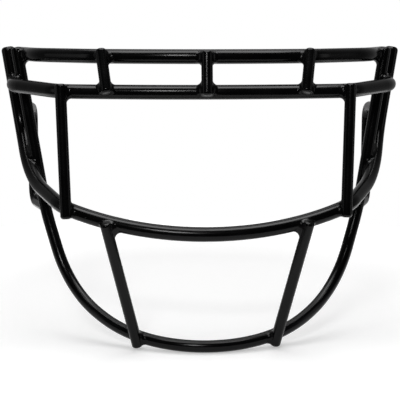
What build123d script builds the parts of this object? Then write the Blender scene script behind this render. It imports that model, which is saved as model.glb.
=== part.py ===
from build123d import *
import math
import os

os.makedirs("parts", exist_ok=True)

# X points to the wearer's left, the viewer's right. Y points back towards the wearer. Z is up.
# The origin is the middle of the whole mask.

# Bare radius of each steel wire gauge, and the plastic skin dipped over it
bar_steel = 3.15
frame_steel = 2.6
light_steel = 2.3
coat = 0.7

# How far a weld presses one wire into the next, and how far a butt end bites into its neighbour
weld_sink = 0.5
butt_bite = 0.8

# The rounding of a coated wire end, as a share of the coated radius
end_round_share = 0.55

# Heights: the eye bar's shoulder, and from it up the bar's side, the rear upright's foot, the
# lower brow bar and the top brow bar, each above the one before
eye_shoulder_level = -2.9
eye_side_rise = 9.9
rear_foot_rise = 25.5
lower_bar_rise = 25.2
brow_gap = 18.3
lower_end_rise = 1.5

# The jaw frame's side: the top of its upright, and its foot measured from there,
# with its height below the eye bar's shoulder
frame_top_half = 104.6
frame_top_depth = 27.7
frame_foot_inset = 15.6
frame_foot_forward = 7.7
frame_foot_drop = 9.9

# The rear upright, the turned-up end of the eye bar: its top beside the frame's top and its foot
# beside the frame's foot, both behind the frame's top
rear_flare = 6.7
rear_gap = 15.5
rear_foot_flare = 14.9
rear_foot_gap = 13.7

# The top brow bar, seen from above: its shoulder inside the lower bar's and forward of the frame,
# and the rise of its bow
top_shoulder_inset = 20.0
top_shoulder_forward = 47.5
top_bow_rise = 16.5
top_bow_radius = 155.0
top_shoulder_radius = 40.0
top_side_radius = 40.0
top_side_run = 38.0
top_end_run = 2.5

# The lower brow bar, seen from above: its shoulder inside the frame's top and forward of its foot
lower_shoulder_inset = 27.6
lower_shoulder_forward = 42.4
lower_bow_rise = 19.0
lower_bow_radius = 268.0
lower_shoulder_radius = 24.0
lower_side_radius = 30.0
lower_side_run = 28.0

# The eye bar: its side forward of the rear upright's foot, its shoulder inside the frame's top and
# forward of the lower brow bar's shoulder, and its bow, which leans forward and below the frame's foot
eye_side_forward = 25.2
eye_shoulder_inset = 28.3
eye_shoulder_forward = 6.1
eye_bow_rise = 35.3
eye_bow_drop = 13.5
eye_bow_radius = 142.0
eye_shoulder_radius = 22.0
eye_side_radius = 66.0
rear_bend_radius = 30.0

# The jaw bar: cheek, chin and apex, each measured from the corner before it
jaw_cheek_inset = 13.5
jaw_cheek_forward = 11.8
jaw_cheek_drop = 43.0
jaw_chin_inset = 31.5
jaw_chin_forward = 30.5
jaw_chin_drop = 18.5
jaw_bow_rise = 19.5
jaw_bow_drop = 4.5
jaw_foot_radius = 90.0
jaw_cheek_radius = 60.0
jaw_chin_radius = 90.0
jaw_bow_radius = 59.0

# Light rods on the front: each brow post and eye upright inside its bar's shoulder, and how far it
# leans in. A mouth rod's top stands inside the brow post, and its foot inside the chin's corner
brow_post_inset = 3.9
brow_post_lean = 1.7
eye_upright_inset = 3.0
eye_upright_lean = 2.5
mouth_top_inset = 2.1
mouth_foot_inset = 8.6

# How far each rod's cut end stands past the middle of the bar that it is welded to
post_past = 1.7
upright_past_top = 3.0
upright_past_foot = 3.8
mouth_past_top = 1.4
mouth_past_foot = 2.9

# The clip loop on each side, a U of light wire behind the rear upright's foot: its upper leg below the
# lower brow bar, and its lower leg below the eye bar's shoulder
loop_top_drop = 12.6
loop_foot_drop = 7.2
loop_inset = 5.6
loop_setback = 6.3
loop_bend_radius = 8.0

# The most of each run between two corners that their bends may take up
bend_room_share = 0.995

# Where those measures put the corners
eye_side_level = eye_shoulder_level + eye_side_rise
rear_low_level = eye_side_level + rear_foot_rise
lower_level = rear_low_level + lower_bar_rise
top_level = lower_level + brow_gap
frame_low_half = frame_top_half - frame_foot_inset
frame_low_depth = frame_top_depth - frame_foot_forward
frame_low_level = eye_shoulder_level - frame_foot_drop
rear_top_half = frame_top_half + rear_flare
rear_top_depth = frame_top_depth + rear_gap
rear_low_half = frame_low_half + rear_foot_flare
rear_low_depth = frame_top_depth + rear_foot_gap
lower_shoulder_half = frame_top_half - lower_shoulder_inset
lower_shoulder_depth = frame_low_depth - lower_shoulder_forward
top_shoulder_half = lower_shoulder_half - top_shoulder_inset
top_shoulder_depth = frame_top_depth - top_shoulder_forward
eye_side_depth = rear_low_depth - eye_side_forward
eye_shoulder_half = frame_top_half - eye_shoulder_inset
eye_shoulder_depth = lower_shoulder_depth - eye_shoulder_forward
jaw_cheek_half = frame_low_half - jaw_cheek_inset
jaw_cheek_depth = frame_low_depth - jaw_cheek_forward
jaw_cheek_level = frame_low_level - jaw_cheek_drop
jaw_chin_half = jaw_cheek_half - jaw_chin_inset
jaw_chin_depth = jaw_cheek_depth - jaw_chin_forward
jaw_chin_level = jaw_cheek_level - jaw_chin_drop
brow_post_half = top_shoulder_half - brow_post_inset
eye_upright_half = lower_shoulder_half - eye_upright_inset
mouth_top_half = brow_post_half - mouth_top_inset
mouth_foot_half = jaw_chin_half - mouth_foot_inset
rim_level = top_level + bar_steel


def weld_span(one, other):
    """Distance between the middles of two wires welded across each other."""
    return one + other - weld_sink


def between(low_point, high_point, level):
    """The point of a straight wire at a given height."""
    share = (level - low_point.Z) / (high_point.Z - low_point.Z)
    return low_point + (high_point - low_point) * share


def root(miss, low, high):
    """Where a steadily changing miss passes through zero, by halving."""
    rising = miss(high) > miss(low)
    for _ in range(50):
        middle = (low + high) / 2
        if (miss(middle) > 0) == rising:
            high = middle
        else:
            low = middle
    return (low + high) / 2


def line_gap(point, along, other_point, other_along):
    """Distance between two straight lines in space."""
    across = along.cross(other_along).normalized()
    return abs((other_point - point).dot(across))


def both_sides(half):
    """Corners of a wire that crosses the middle, from those of its right half."""
    left = [Vector(-p.X, p.Y, p.Z) for p in reversed(half)]
    return left + half[(1 if half[0].X == 0 else 0):]


def mirrored(points, side):
    return [Vector(side * p.X, p.Y, p.Z) for p in points]


frame_top = Vector(frame_top_half, frame_top_depth, rim_level)
frame_low = Vector(frame_low_half, frame_low_depth, frame_low_level)
rear_top = Vector(rear_top_half, rear_top_depth, rim_level)
rear_low = Vector(rear_low_half, rear_low_depth, rear_low_level)


def side_line(level, frame_offset, rear_offset):
    """A level line beside the frame and rear uprights, at set distances outside their middles.

    Gives its direction, towards the rear, and the foot of the rear upright on it.
    """
    frame = between(frame_low, frame_top, level)
    rear = between(rear_low, rear_top, level)
    spread = math.hypot(rear.X - frame.X, rear.Y - frame.Y)
    turn = math.atan2(rear.Y - frame.Y, rear.X - frame.X)
    turn += math.asin((frame_offset - rear_offset) / spread)
    along = Vector(math.cos(turn), math.sin(turn), 0)
    outward = Vector(math.sin(turn), -math.cos(turn), 0)
    return along, rear + outward * rear_offset


def top_bar_corners():
    """The top bar passes inside both uprights."""
    inside_frame = -weld_span(bar_steel, frame_steel)
    inside_rear = -weld_span(bar_steel, bar_steel)
    along, foot = side_line(top_level, inside_frame, inside_rear)
    return both_sides([
        Vector(0, top_shoulder_depth - top_bow_rise, top_level),
        Vector(top_shoulder_half, top_shoulder_depth, top_level),
        foot - along * top_side_run,
        foot + along * top_end_run,
    ])


def lower_bar_corners():
    """The lower bar passes outside the frame and butts against the front of the rear upright."""
    level = lower_level + lower_end_rise
    along, foot = side_line(level, weld_span(bar_steel, frame_steel), 0)
    return both_sides([
        Vector(0, lower_shoulder_depth - lower_bow_rise, lower_level),
        Vector(lower_shoulder_half, lower_shoulder_depth, lower_level),
        foot - along * lower_side_run,
        foot - along * (bar_steel - butt_bite),
    ])


def eye_bar_corners():
    """The eye bar passes outside the frame and turns up into the rear upright."""
    upright = frame_top - frame_low

    def miss(half):
        corner = Vector(half, eye_side_depth, eye_side_level)
        gap = line_gap(frame_low, upright, corner, rear_low - corner)
        return gap - weld_span(bar_steel, frame_steel)

    side_half = root(miss, between(frame_low, frame_top, eye_side_level).X, rear_low.X)
    return both_sides([
        Vector(0, eye_shoulder_depth - eye_bow_rise, frame_low_level - eye_bow_drop),
        Vector(eye_shoulder_half, eye_shoulder_depth, eye_shoulder_level),
        Vector(side_half, eye_side_depth, eye_side_level),
        rear_low,
        rear_top,
    ])


def jaw_frame_corners():
    return both_sides([
        Vector(0, jaw_chin_depth - jaw_bow_rise, jaw_chin_level - jaw_bow_drop),
        Vector(jaw_chin_half, jaw_chin_depth, jaw_chin_level),
        Vector(jaw_cheek_half, jaw_cheek_depth, jaw_cheek_level),
        frame_low,
        frame_top,
    ])


top_rounds = [top_side_radius, top_shoulder_radius, top_bow_radius,
              top_shoulder_radius, top_side_radius]
lower_rounds = [lower_side_radius, lower_shoulder_radius, lower_bow_radius,
                lower_shoulder_radius, lower_side_radius]
eye_rounds = [rear_bend_radius, eye_side_radius, eye_shoulder_radius, eye_bow_radius,
              eye_shoulder_radius, eye_side_radius, rear_bend_radius]
jaw_rounds = [jaw_foot_radius, jaw_cheek_radius, jaw_chin_radius, jaw_bow_radius,
              jaw_chin_radius, jaw_cheek_radius, jaw_foot_radius]


def fitted(corners, rounds):
    """The bend radii, limited so that two neighbouring bends leave room for each other."""
    legs = [b - a for a, b in zip(corners, corners[1:])]
    setbacks = [math.tan(math.radians(before.get_angle(after)) / 2) * radius
                for before, after, radius in zip(legs, legs[1:], rounds)]
    room = [1.0] + [min(1.0, leg.length * bend_room_share / (one + other))
                    for leg, one, other in zip(legs, [0] + setbacks, setbacks + [0])] + [1.0]
    return [radius * min(room[i + 1], room[i + 2]) for i, radius in enumerate(rounds)]


def route(corners, rounds, longer=0):
    """The middle line of a bent wire, its ends made longer where asked."""
    start = corners[0] + (corners[0] - corners[1]).normalized() * longer
    finish = corners[-1] + (corners[-1] - corners[-2]).normalized() * longer
    with BuildLine() as line:
        if rounds:
            FilletPolyline(start, *corners[1:-1], finish, radius=fitted(corners, rounds))
        else:
            Line(start, finish)
    return line.wire()


def at_half(path, half):
    """The point of a crossing bar at a given half width, and the bar's direction there."""
    place = root(lambda u: (path @ u).X - half, 0.0, 1.0)
    return path @ place, path % place


def front_rod(upper, upper_half, lower, lower_half, past_top, past_foot, lower_steel=bar_steel):
    """End points of a light rod welded on the front of two bars."""
    top, top_along = at_half(upper, upper_half)
    foot, foot_along = at_half(lower, lower_half)
    down = (foot - top).normalized()

    def forward(along):
        face = along.cross(down).normalized()
        return face if face.Y < 0 else face * -1

    top += forward(top_along) * weld_span(bar_steel, light_steel)
    foot += forward(foot_along) * weld_span(lower_steel, light_steel)
    down = (foot - top).normalized()
    return [top - down * past_top, foot + down * past_foot]


def loop_corners():
    """A U whose two legs run forward and butt against the back of the frame."""
    corners = []
    for level in (lower_level - loop_top_drop, eye_shoulder_level - loop_foot_drop):
        back = Vector(rear_low_half - loop_inset, rear_low_depth + loop_setback, level)
        frame = between(frame_low, frame_top, level)
        rearward = (back - frame).normalized()
        corners.append([frame + rearward * (frame_steel - butt_bite), back])
    (top_end, back_top), (foot_end, back_foot) = corners
    return [top_end, back_top, back_foot, foot_end]


loop_rounds = [loop_bend_radius, loop_bend_radius]

# Build every wire
top_path = route(top_bar_corners(), top_rounds)
lower_path = route(lower_bar_corners(), lower_rounds)
eye_path = route(eye_bar_corners(), eye_rounds)
jaw_path = route(jaw_frame_corners(), jaw_rounds)

# Each wire: its corners, bend radii, steel radius and the stouter wires that it is welded to
wires = {
    "eye_bar": (eye_bar_corners(), eye_rounds, bar_steel, []),
    "lower_brow_bar": (lower_bar_corners(), lower_rounds, bar_steel, ["eye_bar"]),
    "top_brow_bar": (top_bar_corners(), top_rounds, bar_steel, ["eye_bar"]),
    "jaw_frame": (jaw_frame_corners(), jaw_rounds, frame_steel,
                  ["eye_bar", "lower_brow_bar", "top_brow_bar"]),
    "centre_post": (front_rod(top_path, 0, lower_path, 0, post_past, post_past), [],
                    light_steel, ["top_brow_bar", "lower_brow_bar"]),
}
for hand, side in (("right", -1), ("left", 1)):
    wires[hand + "_clip_loop"] = (mirrored(loop_corners(), side), loop_rounds, light_steel,
                                  ["eye_bar", "jaw_frame"])
    wires[hand + "_brow_post"] = (
        front_rod(top_path, side * brow_post_half, lower_path,
                  side * (brow_post_half - brow_post_lean), post_past, post_past),
        [], light_steel, ["top_brow_bar", "lower_brow_bar"])
    wires[hand + "_eye_upright"] = (
        front_rod(lower_path, side * eye_upright_half, eye_path,
                  side * (eye_upright_half - eye_upright_lean), upright_past_top, upright_past_foot),
        [], light_steel, ["lower_brow_bar", "eye_bar"])
    wires[hand + "_mouth_rod"] = (
        front_rod(eye_path, side * mouth_top_half, jaw_path, side * mouth_foot_half,
                  mouth_past_top, mouth_past_foot, frame_steel),
        [], light_steel, ["eye_bar", "jaw_frame"])


def swept_rod(path, radius):
    with BuildPart() as rod:
        with BuildSketch(Plane(origin=path @ 0, z_dir=path % 0)):
            Circle(radius)
        sweep(path=path)
    return rod.part


def dipped_rod(path, radius):
    """A rod with its two ends rounded by the skin."""
    with BuildPart() as rod:
        add(swept_rod(path, radius))
        fillet(rod.faces().filter_by(GeomType.PLANE).edges(), radius * end_round_share)
    return rod.part


steel = {}
dipped = {}
for name, (corners, rounds, radius, stouter) in wires.items():
    steel[name] = swept_rod(route(corners, rounds), radius)
    dipped[name] = dipped_rod(route(corners, rounds, coat), radius + coat)

for name, (corners, rounds, radius, stouter) in wires.items():
    with BuildPart() as core:
        add(steel[name])
        for other in stouter:
            add(steel[other], mode=Mode.SUBTRACT)
    core.part.label = name + "_core"
    export_step(core.part, "parts/" + name + "_core.step")

    lighter = [other for other in wires if name in wires[other][3]]
    with BuildPart() as skin:
        add(dipped[name])
        for other in [name] + stouter + lighter:
            add(steel[other], mode=Mode.SUBTRACT)
        for other in stouter:
            add(dipped[other], mode=Mode.SUBTRACT)
    skin.part.label = name + "_coat"
    export_step(skin.part, "parts/" + name + "_coat.step")
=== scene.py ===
import bpy
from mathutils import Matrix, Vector
from mathutils.bvhtree import BVHTree


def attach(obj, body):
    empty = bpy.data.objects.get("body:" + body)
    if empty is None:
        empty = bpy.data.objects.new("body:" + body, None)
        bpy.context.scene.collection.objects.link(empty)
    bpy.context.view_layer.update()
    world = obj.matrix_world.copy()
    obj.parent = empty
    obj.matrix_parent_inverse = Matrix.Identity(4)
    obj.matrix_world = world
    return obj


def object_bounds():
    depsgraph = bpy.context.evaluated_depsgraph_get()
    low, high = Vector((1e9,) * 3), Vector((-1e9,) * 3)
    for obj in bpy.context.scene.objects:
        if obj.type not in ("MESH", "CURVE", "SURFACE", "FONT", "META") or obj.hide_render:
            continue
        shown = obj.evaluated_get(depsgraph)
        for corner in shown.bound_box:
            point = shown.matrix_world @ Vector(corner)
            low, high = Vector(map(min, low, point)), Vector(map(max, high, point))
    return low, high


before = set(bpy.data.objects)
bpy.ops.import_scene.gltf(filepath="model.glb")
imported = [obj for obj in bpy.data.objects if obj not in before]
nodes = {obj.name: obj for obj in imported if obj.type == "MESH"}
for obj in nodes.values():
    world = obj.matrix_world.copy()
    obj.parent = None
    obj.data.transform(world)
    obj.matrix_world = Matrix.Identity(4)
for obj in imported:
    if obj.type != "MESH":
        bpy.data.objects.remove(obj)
cadLow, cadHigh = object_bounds()  # the mask's own box, before anything is added
print("mask loaded,", len(nodes), "nodes")

# the camera stands where the photograph was taken from
cameraSetup = {
    "place": (-0.02818, -0.66709, 0.09316),
    "lookAt": (0.0, 0.0052, -0.005),
    "sensorWidth": 36,
    "lens": 109.55,
    "shiftX": -0.0093,
    "shiftY": 0.0022,
}


def aimAt(thing, place, target):
    # cameras and area lamps both look down their own -Z
    thing.location = place
    thing.rotation_mode = "QUATERNION"
    thing.rotation_quaternion = (Vector(target) - Vector(place)).to_track_quat("-Z", "Y")


def addCamera(setup):
    data = bpy.data.cameras.new("photoCamera")
    camera = bpy.data.objects.new("photoCamera", data)
    bpy.context.collection.objects.link(camera)
    aimAt(camera, setup["place"], setup["lookAt"])
    data.sensor_width = setup["sensorWidth"]
    data.lens = setup["lens"]
    data.shift_x = setup["shiftX"]
    data.shift_y = setup["shiftY"]
    bpy.context.scene.camera = camera


addCamera(cameraSetup)
print("camera placed")


# helpers for building shader trees
def newMaterial(name):
    material = bpy.data.materials.new(name)
    material.use_nodes = True
    tree = material.node_tree
    tree.nodes.clear()
    return material, tree


def addNode(tree, kind, place, values=None, **settings):
    node = tree.nodes.new(kind)
    node.location = place
    for key, value in settings.items():
        setattr(node, key, value)
    for socket, value in (values or {}).items():
        node.inputs[socket].default_value = value
    return node


def join(tree, source, target):
    tree.links.new(source, target)


def addMath(tree, place, operation, first, second, **settings):
    node = addNode(tree, "ShaderNodeMath", place, operation=operation, **settings)
    join(tree, first, node.inputs[0])
    join(tree, second, node.inputs[1])
    return node.outputs[0]


def addNoise(tree, place, source, scale, detail, roughness=0.5):
    values = {"Scale": scale, "Detail": detail, "Roughness": roughness}
    node = addNode(tree, "ShaderNodeTexNoise", place, values)
    join(tree, source, node.inputs["Vector"])
    return node.outputs["Fac"]


def addRange(tree, place, source, taken, given=(0.0, 1.0), **settings):
    # spreads the taken span of values over the given one
    values = {"From Min": taken[0], "From Max": taken[1], "To Min": given[0], "To Max": given[1]}
    node = addNode(tree, "ShaderNodeMapRange", place, values, **settings)
    join(tree, source, node.inputs["Value"])
    return node.outputs[0]


def addRamp(tree, place, source, colours, span=(0.0, 1.0)):
    node = addNode(tree, "ShaderNodeValToRGB", place)
    for element, colour, position in zip(node.color_ramp.elements, colours, span):
        element.position = position
        element.color = colour
    join(tree, source, node.inputs[0])
    return node.outputs["Color"]


def addBlend(tree, place, kind, mask, under, over):
    # the plain value over what lies under it, wherever the mask says
    node = addNode(tree, "ShaderNodeMix", place, data_type=kind)
    node.inputs["B"].default_value = over
    join(tree, mask, node.inputs["Factor"])
    join(tree, under, node.inputs["A"])
    return node.outputs["Result"]


def newGroup(name, inputs, output):
    # every group takes the place on the piece, then its own amounts, and gives one value
    group = bpy.data.node_groups.new(name, "ShaderNodeTree")
    group.interface.new_socket(name="Place", in_out="INPUT", socket_type="NodeSocketVector")
    for label in inputs:
        socket = group.interface.new_socket(
            name=label, in_out="INPUT", socket_type="NodeSocketFloat")
        socket.default_value = 1.0
    group.interface.new_socket(name=output, in_out="OUTPUT", socket_type="NodeSocketFloat")
    entry = addNode(group, "NodeGroupInput", (-900, 0))
    leave = addNode(group, "NodeGroupOutput", (900, 0))
    return group, entry.outputs, leave.inputs[output]


# the slow sag and fine orange peel of plastic that ran and set on the wire
ripplePattern = {
    "sagScale": 120.0,
    "sagRoughness": 0.4,
    "peelScale": 900.0,
}


def makeRipple(pattern):
    group, entry, height = newGroup("dipRipple", ["Sag", "Peel"], "Height")
    sag = addNoise(group, (-600, 200), entry["Place"],
                   pattern["sagScale"], 1.0, pattern["sagRoughness"])
    peel = addNoise(group, (-600, 0), entry["Place"], pattern["peelScale"], 2.0)
    slow = addMath(group, (-300, 200), "MULTIPLY", sag, entry["Sag"])
    fine = addMath(group, (-300, 0), "MULTIPLY", peel, entry["Peel"])
    join(group, addMath(group, (0, 100), "ADD", slow, fine), height)
    return group


# hairline rubs from handling: thin streaks at two slants, kept to worn patches
scuffPattern = {
    "patchScale": 45.0,
    "patchSpan": (0.50, 0.70),
    "slants": ((0.5, 0.3, 0.2), (-0.4, 0.9, 1.3)),
    "drawnOut": (1.0, 14.0, 14.0),  # a streak is this much longer than wide
    "streakScale": 160.0,
    "streakSpan": (0.66, 0.72),
}


def makeScuffs(pattern):
    group, entry, mask = newGroup("handlingScuffs", ["Amount"], "Mask")
    patches = addNoise(group, (-600, 300), entry["Place"], pattern["patchScale"], 3.0)
    worn = addRange(group, (-300, 300), patches, pattern["patchSpan"],
                    interpolation_type="SMOOTHSTEP")
    streaks = []
    for row, turn in enumerate(pattern["slants"]):
        slant = addNode(group, "ShaderNodeMapping", (-750, -250 * row),
                        {"Rotation": turn, "Scale": pattern["drawnOut"]})
        join(group, entry["Place"], slant.inputs["Vector"])
        lines = addNoise(group, (-500, -250 * row), slant.outputs[0], pattern["streakScale"], 1.0)
        streaks.append(addRange(group, (-250, -250 * row), lines, pattern["streakSpan"]))
    either = addMath(group, (0, -100), "MAXIMUM", *streaks)
    kept = addMath(group, (250, 0), "MULTIPLY", either, worn)
    scaled = addMath(group, (500, 0), "MULTIPLY", kept, entry["Amount"], use_clamp=True)
    join(group, scaled, mask)
    return group


# faint dust: a cloudy film with a few specks, thicker on what faces up
dustPattern = {
    "filmScale": 60.0,
    "filmSpan": (0.42, 0.75),
    "speckScale": 480.0,
    "speckSpan": (0.12, 0.08),
    "upwardSpan": (-0.2, 1.0),
    "upwardShare": (0.15, 1.0),
}


def makeDust(pattern):
    group, entry, mask = newGroup("settledDust", ["Amount"], "Mask")
    cloud = addNoise(group, (-600, 200), entry["Place"], pattern["filmScale"], 4.0)
    film = addRange(group, (-300, 200), cloud, pattern["filmSpan"])
    specks = addNode(group, "ShaderNodeTexVoronoi", (-600, -50),
                     {"Scale": pattern["speckScale"], "Randomness": 1.0})
    join(group, entry["Place"], specks.inputs["Vector"])
    dots = addRange(group, (-300, -50), specks.outputs["Distance"], pattern["speckSpan"])
    facing = addNode(group, "ShaderNodeNewGeometry", (-900, -300))
    split = addNode(group, "ShaderNodeSeparateXYZ", (-600, -300))
    join(group, facing.outputs["Normal"], split.inputs[0])
    upward = addRange(group, (-300, -300), split.outputs["Z"],
                      pattern["upwardSpan"], pattern["upwardShare"])
    most = addMath(group, (0, 100), "MAXIMUM", film, dots)
    settled = addMath(group, (250, 0), "MULTIPLY", most, upward)
    scaled = addMath(group, (500, 0), "MULTIPLY", settled, entry["Amount"], use_clamp=True)
    join(group, scaled, mask)
    return group


rippleGroup = makeRipple(ripplePattern)
scuffGroup = makeScuffs(scuffPattern)
dustGroup = makeDust(dustPattern)


def effect(tree, group, place, source, values):
    node = addNode(tree, "ShaderNodeGroup", place, values, node_tree=group)
    join(tree, source, node.inputs["Place"])
    return node.outputs[0]


def finishShader(tree, values, colour, roughness, normal):
    shader = addNode(tree, "ShaderNodeBsdfPrincipled", (0, 0), values)
    join(tree, colour, shader.inputs["Base Color"])
    join(tree, roughness, shader.inputs["Roughness"])
    join(tree, normal, shader.inputs["Normal"])
    output = addNode(tree, "ShaderNodeOutputMaterial", (350, 0))
    join(tree, shader.outputs[0], output.inputs[0])


# the glossy black plastic that the cage was dipped in
dipFinish = {
    "deepBlack": (0.0007, 0.0007, 0.0008, 1),
    "thinBlack": (0.0018, 0.0018, 0.0020, 1),
    "cloudScale": 75.0,
    "cloudSpan": (0.35, 0.70),
    "glossSpan": (0.3, 0.7),
    "gloss": (0.17, 0.22),  # roughness where the coat is thick and where it is thin
    "scuffRoughness": 0.34,
    "dustColour": (0.030, 0.029, 0.027, 1),
    "specular": 0.16,
    "bump": 0.5,
    "ripple": 0.00002,  # height of the waves in the skin
    "sag": 0.8,
    "peel": 0.02,
    "scuffs": 0.5,
    "dust": 0.04,
}


def dippedPlastic(finish):
    material, tree = newMaterial("dippedPlastic")
    place = addNode(tree, "ShaderNodeTexCoord", (-1500, 0)).outputs["Object"]
    cloud = addNoise(tree, (-1200, 300), place, finish["cloudScale"], 3.0)
    depth = addRamp(tree, (-900, 300), cloud,
                    (finish["deepBlack"], finish["thinBlack"]), finish["cloudSpan"])
    gloss = addRange(tree, (-900, 0), cloud, finish["glossSpan"], finish["gloss"])
    scuffs = effect(tree, scuffGroup, (-900, -250), place, {"Amount": finish["scuffs"]})
    dust = effect(tree, dustGroup, (-900, -450), place, {"Amount": finish["dust"]})
    ripple = effect(tree, rippleGroup, (-900, -650), place,
                    {"Sag": finish["sag"], "Peel": finish["peel"]})
    dusty = addBlend(tree, (-500, 300), "RGBA", dust, depth, finish["dustColour"])
    rough = addBlend(tree, (-500, 0), "FLOAT", scuffs, gloss, finish["scuffRoughness"])
    bump = addNode(tree, "ShaderNodeBump", (-500, -500),
                   {"Strength": finish["bump"], "Distance": finish["ripple"]})
    join(tree, ripple, bump.inputs["Height"])
    values = {"IOR": 1.5, "Specular IOR Level": finish["specular"]}
    finishShader(tree, values, dusty, rough, bump.outputs[0])
    return material


# the drawn steel rod inside the plastic
steelFinish = {
    "bright": (0.33, 0.34, 0.35, 1),
    "dull": (0.20, 0.20, 0.21, 1),
    "millScale": 320.0,
    "roughness": (0.28, 0.45),
    "dustColour": (0.12, 0.11, 0.10, 1),
    "scuffs": 1.0,
    "dust": 0.15,
    "bump": 0.4,
    "drawLines": 0.00003,  # height of the lines that drawing left
}


def drawnSteel(finish):
    material, tree = newMaterial("drawnSteel")
    place = addNode(tree, "ShaderNodeTexCoord", (-1500, 0)).outputs["Object"]
    mill = addNoise(tree, (-1200, 200), place, finish["millScale"], 4.0)
    tone = addRamp(tree, (-900, 300), mill, (finish["dull"], finish["bright"]))
    rough = addRange(tree, (-900, 0), mill, (0.0, 1.0), finish["roughness"])
    scuffs = effect(tree, scuffGroup, (-900, -250), place, {"Amount": finish["scuffs"]})
    dust = effect(tree, dustGroup, (-900, -450), place, {"Amount": finish["dust"]})
    dusty = addBlend(tree, (-500, 300), "RGBA", dust, tone, finish["dustColour"])
    bump = addNode(tree, "ShaderNodeBump", (-500, -300),
                   {"Strength": finish["bump"], "Distance": finish["drawLines"]})
    join(tree, scuffs, bump.inputs["Height"])
    finishShader(tree, {"Metallic": 1.0}, dusty, rough, bump.outputs[0])
    return material


plastic, steel = dippedPlastic(dipFinish), drawnSteel(steelFinish)


def finishNode(node, material):
    if not node.material_slots:
        node.data.materials.append(material)
    for slot in node.material_slots:
        slot.material = material


for name, node in nodes.items():
    finishNode(node, plastic if name.endswith("_coat") else steel)
print("coats and steel finished")

# plastic that pooled in the creases of the welds
webSetup = {
    "margin": 0.0065,  # how far past the touching stretch the wires are taken up
    "apart": 0.018,  # touching points further apart than this are two welds
    "touch": 0.00006,
    "nearShare": 0.8,  # wires within this share of the box are taken up too
    "voxel": 0.00034,
    "round": 0.0023,  # the radius that the pooled plastic leaves in a crease
    "broad": {"centre_post": 0.0030, "top_brow_bar": 0.0018, "clip_loop": 0.0018},
    "even": 5,  # rounds of smoothing
    "sink": 0.00005,  # the skirt lies this far inside the coats
    "endsFrom": 0.78,  # past this share of the box the piece dives under
    "endSink": 0.0006,
    "doubles": 0.000001,  # points closer than this are one
}

# each wire and the stouter wires that it is welded to
welds = {
    "lower_brow_bar": ["eye_bar"],
    "top_brow_bar": ["eye_bar"],
    "jaw_frame": ["eye_bar", "lower_brow_bar", "top_brow_bar"],
    "centre_post": ["top_brow_bar", "lower_brow_bar"],
}
for hand in ("right", "left"):
    welds[hand + "_brow_post"] = ["top_brow_bar", "lower_brow_bar"]
    welds[hand + "_eye_upright"] = ["lower_brow_bar", "eye_bar"]
    welds[hand + "_mouth_rod"] = ["eye_bar", "jaw_frame"]
    welds[hand + "_clip_loop"] = ["jaw_frame"]


def makeActive(piece):
    bpy.ops.object.select_all(action="DESELECT")
    piece.select_set(True)
    bpy.context.view_layer.objects.active = piece


def linkedCopy(title, mesh):
    copied = bpy.data.objects.new(title, mesh.copy())
    bpy.context.collection.objects.link(copied)
    makeActive(copied)
    return copied


def applyModifier(piece, kind, **settings):
    makeActive(piece)
    modifier = piece.modifiers.new(kind.lower(), kind)
    for key, value in settings.items():
        setattr(modifier, key, value)
    bpy.ops.object.modifier_apply(modifier=modifier.name)


def swell(piece, amount, **settings):
    applyModifier(piece, "DISPLACE", strength=amount, mid_level=0.0, **settings)


def mergedCopy(name, setup):
    # a solid comes as loose triangles, and cutting it needs a closed skin
    copied = linkedCopy("merged_" + name, nodes[name].data)
    bpy.ops.object.mode_set(mode="EDIT")
    bpy.ops.mesh.select_all(action="SELECT")
    bpy.ops.mesh.remove_doubles(threshold=setup["doubles"])
    bpy.ops.object.mode_set(mode="OBJECT")
    return copied


def skinTree(name):
    mesh = merged[name + "_coat"].data
    corners = [vertex.co for vertex in mesh.vertices]
    return BVHTree.FromPolygons(corners, [polygon.vertices for polygon in mesh.polygons])


merged = {name: mergedCopy(name, webSetup) for name in nodes}
skins = {name: skinTree(name) for name in list(welds) + ["eye_bar"]}


def touches(name, point, distance):
    return skins[name].find_nearest(point, distance)[0] is not None


def weldPlaces(wire, other, setup):
    # the middle of each weld between two wires, and how far round it to reach
    clusters = []
    for vertex in merged[wire + "_coat"].data.vertices:
        if not touches(other, vertex.co, setup["touch"]):
            continue
        for cluster in clusters:
            if (cluster[0] - vertex.co).length < setup["apart"]:
                cluster.append(vertex.co.copy())
                break
        else:
            clusters.append([vertex.co.copy()])
    places = []
    for cluster in clusters:
        low = Vector(min(point[axis] for point in cluster) for axis in range(3))
        high = Vector(max(point[axis] for point in cluster) for axis in range(3))
        places.append(((low + high) / 2, max(high - low) / 2 + setup["margin"]))
    return places


def localStretch(name, place, reach):
    # one solid's run, cut to the box round the weld and closed
    stretch = linkedCopy("stretch", merged[name].data)
    bpy.ops.object.mode_set(mode="EDIT")
    for axis in range(3):
        for side in (-1, 1):
            outward = Vector((0, 0, 0))
            outward[axis] = side
            bpy.ops.mesh.select_all(action="SELECT")
            bpy.ops.mesh.bisect(plane_co=place + reach * outward, plane_no=outward,
                                use_fill=True, clear_outer=True)
    bpy.ops.object.mode_set(mode="OBJECT")
    return stretch


def creaseRadius(wire, setup):
    for ending, radius in setup["broad"].items():
        if wire.endswith(ending):
            return radius
    return setup["round"]


def roundCreases(web, radius, setup):
    # swelling and shrinking again fills every crease and leaves the rest as it was
    for amount in (radius, -radius):
        applyModifier(web, "REMESH", mode="VOXEL", voxel_size=setup["voxel"])
        swell(web, amount)
    applyModifier(web, "REMESH", mode="VOXEL", voxel_size=setup["voxel"])
    applyModifier(web, "SMOOTH", factor=0.5, iterations=setup["even"])
    swell(web, -setup["sink"])


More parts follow.
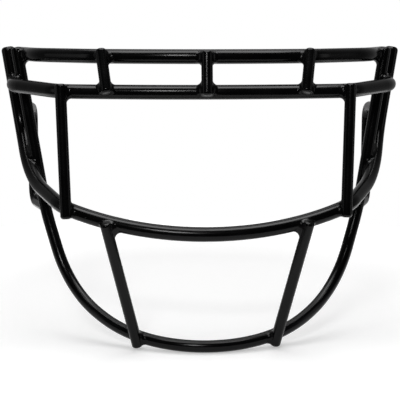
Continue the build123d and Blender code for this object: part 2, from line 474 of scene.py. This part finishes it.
def sinkEnds(web, place, reach, setup):
    # the cut ends dive into the coats, so that no edge shows on the wire
    ends = web.vertex_groups.new(name="ends")
    for vertex in web.data.vertices:
        past = max(abs(value) for value in vertex.co - place) / reach - setup["endsFrom"]
        if past > 0:
            ends.add([vertex.index], min(1.0, past / (1 - setup["endsFrom"])), "REPLACE")
    swell(web, -setup["endSink"], vertex_group="ends")
    web.vertex_groups.clear()


def makeWeb(wire, place, reach, title, setup):
    near = [name for name in skins if touches(name, place, setup["nearShare"] * reach)]
    stretches = [localStretch(name + kind, place, reach)
                 for name in near for kind in ("_coat", "_core")]
    web = stretches[0]
    makeActive(web)
    for stretch in stretches:
        stretch.select_set(True)
    bpy.ops.object.join()
    web.name = title
    web.data.name = title
    roundCreases(web, creaseRadius(wire, setup), setup)
    sinkEnds(web, place, reach, setup)
    web.data.materials.clear()
    web.data.materials.append(plastic)
    for polygon in web.data.polygons:
        polygon.use_smooth = True
    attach(web, "root")
    return web


for wire, others in welds.items():
    for other in others:
        for number, (place, reach) in enumerate(weldPlaces(wire, other, webSetup), 1):
            title = "web_%s_on_%s_%d" % (wire, other, number)
            web = makeWeb(wire, place, reach, title, webSetup)
            print(title, len(web.data.polygons), "faces")
for copied in merged.values():
    bpy.data.objects.remove(copied)

plainWhite = (1.0, 1.0, 1.0, 1)


def seenRays(tree):
    # the white surroundings are for the eye, and for what gloss and glass show
    path = addNode(tree, "ShaderNodeLightPath", (-900, 300))
    mirrored = addMath(tree, (-600, 200), "MAXIMUM",
                       path.outputs["Is Glossy Ray"], path.outputs["Is Transmission Ray"])
    return path.outputs["Is Camera Ray"], mirrored


def addShaderMix(tree, place, factor, first, second):
    node = addNode(tree, "ShaderNodeMixShader", place)
    for source, socket in zip((factor, first, second), node.inputs):
        join(tree, source, socket)
    return node.outputs[0]


# the pale room round the mask
roomSetup = {
    "light": 0.35,
    "darkSide": 0.03,  # what the gloss sees of the room behind the camera
    "paleSide": 0.30,  # and to the sides, before the pale backdrop begins
    "backdrop": 0.5,  # straight behind the mask
    "sideSpan": (-0.3, 0.9),  # from the camera's side towards the backdrop
    "backdropSpan": (0.90, 1.0),
}


def addRoom(setup):
    world = bpy.data.worlds.new("studioWorld")
    bpy.context.scene.world = world
    world.use_nodes = True
    tree = world.node_tree
    tree.nodes.clear()
    camera, mirrored = seenRays(tree)
    direction = addNode(tree, "ShaderNodeTexCoord", (-1200, -100))
    split = addNode(tree, "ShaderNodeSeparateXYZ", (-1000, -100))
    join(tree, direction.outputs["Generated"], split.inputs[0])
    sides = addRange(tree, (-800, 0), split.outputs["Y"],
                     setup["sideSpan"], (setup["darkSide"], setup["paleSide"]))
    behind = addRange(tree, (-800, -300), split.outputs["Y"],
                      setup["backdropSpan"], (0.0, setup["backdrop"] - setup["paleSide"]))
    room = addNode(tree, "ShaderNodeBackground", (0, -200),
                   {"Color": plainWhite, "Strength": setup["light"]})
    backdrop = addNode(tree, "ShaderNodeBackground", (0, 0), {"Color": plainWhite})
    join(tree, addMath(tree, (-500, -150), "ADD", sides, behind), backdrop.inputs["Strength"])
    seen = addNode(tree, "ShaderNodeBackground", (0, 200), {"Color": plainWhite, "Strength": 1.0})
    around = addShaderMix(tree, (300, -100), mirrored, room.outputs[0], backdrop.outputs[0])
    output = addNode(tree, "ShaderNodeOutputWorld", (900, 0))
    join(tree, addShaderMix(tree, (600, 0), camera, around, seen.outputs[0]), output.inputs[0])


# a round floor whose glow grows towards the rim, so that its edge is lost in the white
floorSetup = {
    "colour": (0.80, 0.80, 0.80, 1),
    "glow": (0.30, 0.62),  # under the mask and at the rim
    "radius": 0.30,
    "fadeFrom": 0.4,  # share of the radius where the glow starts to grow
    "corners": 96,
    "place": (0.0, 0.12),
    "gap": 0.0001,  # below the mask's lowest point
}


def addFloor(setup):
    bpy.ops.object.select_all(action="DESELECT")
    bpy.ops.mesh.primitive_circle_add(
        vertices=setup["corners"], radius=setup["radius"], fill_type="NGON",
        location=(*setup["place"], cadLow.z - setup["gap"]))
    floor = bpy.context.object
    floor.name = "studioFloor"
    material, tree = newMaterial("paleFloor")
    plain = addNode(tree, "ShaderNodeBsdfDiffuse", (0, 0), {"Color": setup["colour"]})
    place = addNode(tree, "ShaderNodeTexCoord", (-900, -200))
    distance = addNode(tree, "ShaderNodeVectorMath", (-600, -200), operation="LENGTH")
    join(tree, place.outputs["Object"], distance.inputs[0])
    fade = addRange(tree, (-300, -200), distance.outputs["Value"],
                    (setup["fadeFrom"] * setup["radius"], setup["radius"]), setup["glow"])
    glow = addNode(tree, "ShaderNodeEmission", (0, -200), {"Color": plainWhite})
    join(tree, fade, glow.inputs["Strength"])
    both = addNode(tree, "ShaderNodeAddShader", (300, -100))
    join(tree, plain.outputs[0], both.inputs[0])
    join(tree, glow.outputs[0], both.inputs[1])
    rays = addMath(tree, (-300, 250), "MAXIMUM", *seenRays(tree))
    output = addNode(tree, "ShaderNodeOutputMaterial", (900, 0))
    join(tree, addShaderMix(tree, (600, 0), rays, plain.outputs[0], both.outputs[0]),
         output.inputs[0])
    floor.data.materials.append(material)


# size across and up, place, watts, and whether a lamp lights or is only mirrored
lampSetup = {
    "overhead": ((0.80, 0.80), (0.0, 0.15, 0.75), 3.6, True),
    "topCard": ((0.70, 0.38), (0.0, -0.12, 0.70), 6.2, False),
    "leftSide": ((0.20, 0.6), (-0.85, -0.15, 0.10), 0.30, True),
    "rightSide": ((0.20, 0.6), (0.85, -0.15, 0.10), 0.30, True),
    "nearCamera": ((0.16, 0.10), (-0.14, -0.75, 0.40), 1.9, True),
}


def addLamp(name, size, place, watts, lighting):
    data = bpy.data.lights.new(name, "AREA")
    data.shape = "RECTANGLE"
    data.size, data.size_y = size
    data.energy = watts
    lamp = bpy.data.objects.new(name, data)
    bpy.context.collection.objects.link(lamp)
    lamp.visible_diffuse = lighting
    aimAt(lamp, place, (0, 0, 0))


addRoom(roomSetup)
addFloor(floorSetup)
for name, lamp in lampSetup.items():
    addLamp(name, *lamp)
bpy.context.scene.view_settings.view_transform = "Standard"
print("studio set")
